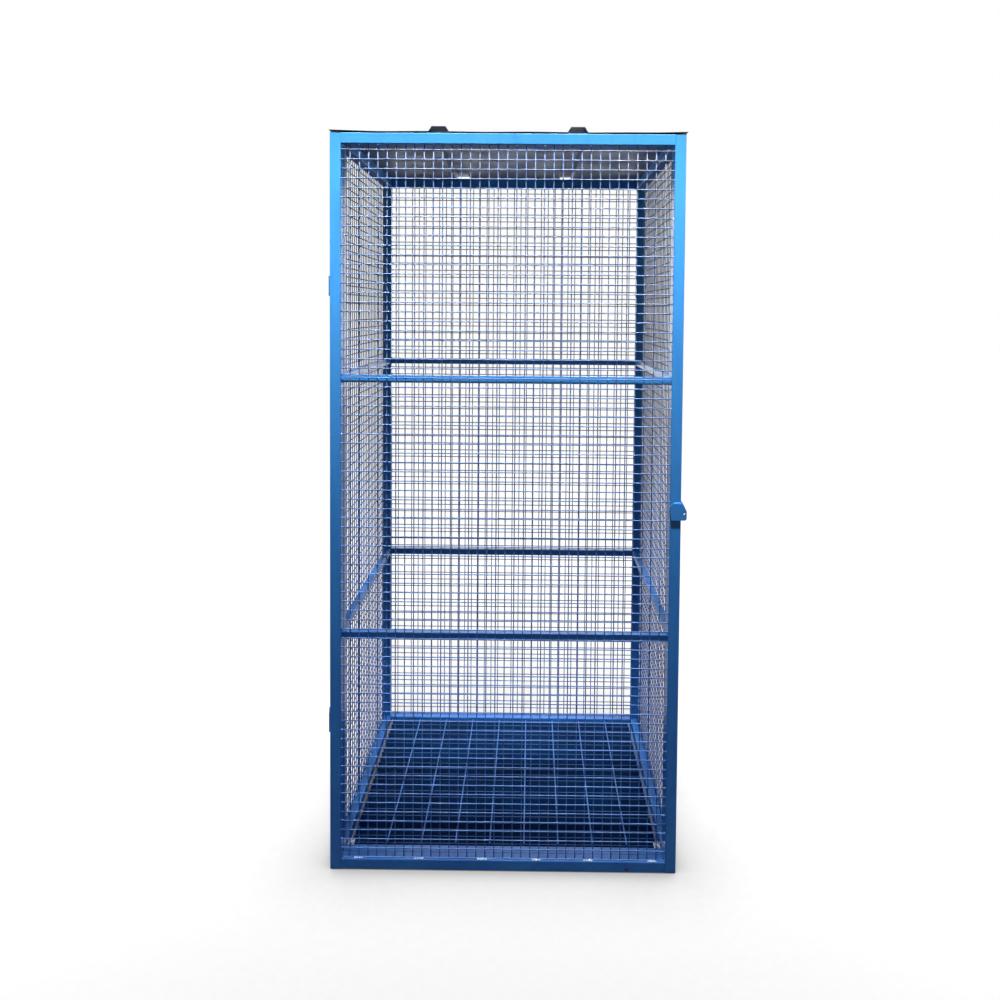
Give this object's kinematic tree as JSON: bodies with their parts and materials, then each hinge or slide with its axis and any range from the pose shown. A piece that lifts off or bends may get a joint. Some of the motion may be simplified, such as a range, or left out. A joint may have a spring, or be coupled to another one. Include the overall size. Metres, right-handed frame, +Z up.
{
  "type": "gas cylinder cage",
  "caption": "Tall outdoor cage for gas cylinders: welded box-section frame, weld-mesh sides and hinged mesh door, bar-grating floor, ribbed sheet roof and padlock lugs.",
  "frame": {"origin": "on the ground, in the middle of the footprint", "axes": "+Z up, door faces -Y with its hinges at -X, depth along Y"},
  "size_m": [0.9715, 0.791, 2.025],
  "materials": {
    "blue_paint": "gloss, brushed on, with dust and a little rust",
    "roof_sheet": "matt dark grey coated sheet",
    "zinc_steel": "bright zinc",
    "hinge_steel": "dark blue-black, greasy",
    "black_rubber": "matt",
    "black_plastic": "matt"
  },
  "bodies": {
    "cage": {"floor_bearing_bars": "blue_paint", "floor_binding_bars": "blue_paint", "floor_clip_bolts": "zinc_steel", "floor_clip_plates": "zinc_steel", "floor_cross_rods": "blue_paint", "floor_ledge_left": "blue_paint", "floor_ledge_right": "blue_paint", "hinge_frame_leaf_lower": "hinge_steel", "hinge_frame_leaf_upper": "hinge_steel", "hinge_pin_lower": "hinge_steel", "hinge_pin_upper": "hinge_steel", "mesh_left": "blue_paint", "mesh_rear": "blue_paint", "mesh_right": "blue_paint", "post_front_left": "blue_paint", "post_front_right": "blue_paint", "post_lock_lug": "blue_paint", "post_rear_left": "blue_paint", "post_rear_right": "blue_paint", "rail_bottom_front": "blue_paint", "rail_bottom_left": "blue_paint", "rail_bottom_rear": "blue_paint", "rail_bottom_right": "blue_paint", "rail_mid_lower_left": "blue_paint", "rail_mid_lower_rear": "blue_paint", "rail_mid_lower_right": "blue_paint", "rail_mid_upper_left": "blue_paint", "rail_mid_upper_rear": "blue_paint", "rail_mid_upper_right": "blue_paint", "rail_top_front": "blue_paint", "rail_top_left": "blue_paint", "rail_top_rear": "blue_paint", "rail_top_right": "blue_paint", "roof_screw_washers": "black_rubber", "roof_screws": "zinc_steel", "roof_sheet": "roof_sheet"},
    "door": {"door_lock_lug": "blue_paint", "door_mesh": "blue_paint", "door_rail_bottom": "blue_paint", "door_rail_mid_lower": "blue_paint", "door_rail_mid_upper": "blue_paint", "door_rail_top": "blue_paint", "door_stile_hinge": "blue_paint", "door_stile_lock": "blue_paint", "door_stile_plugs": "black_plastic", "hinge_door_leaf_lower": "hinge_steel", "hinge_door_leaf_upper": "hinge_steel"}
  },
  "joints": [
    {"name": "door_hinge", "type": "hinge", "parent": "cage", "child": "door", "pos_m": [-0.4795, -0.359, 0], "axis": [0, 0, -1], "range_deg": [0, 180]}
  ]
}
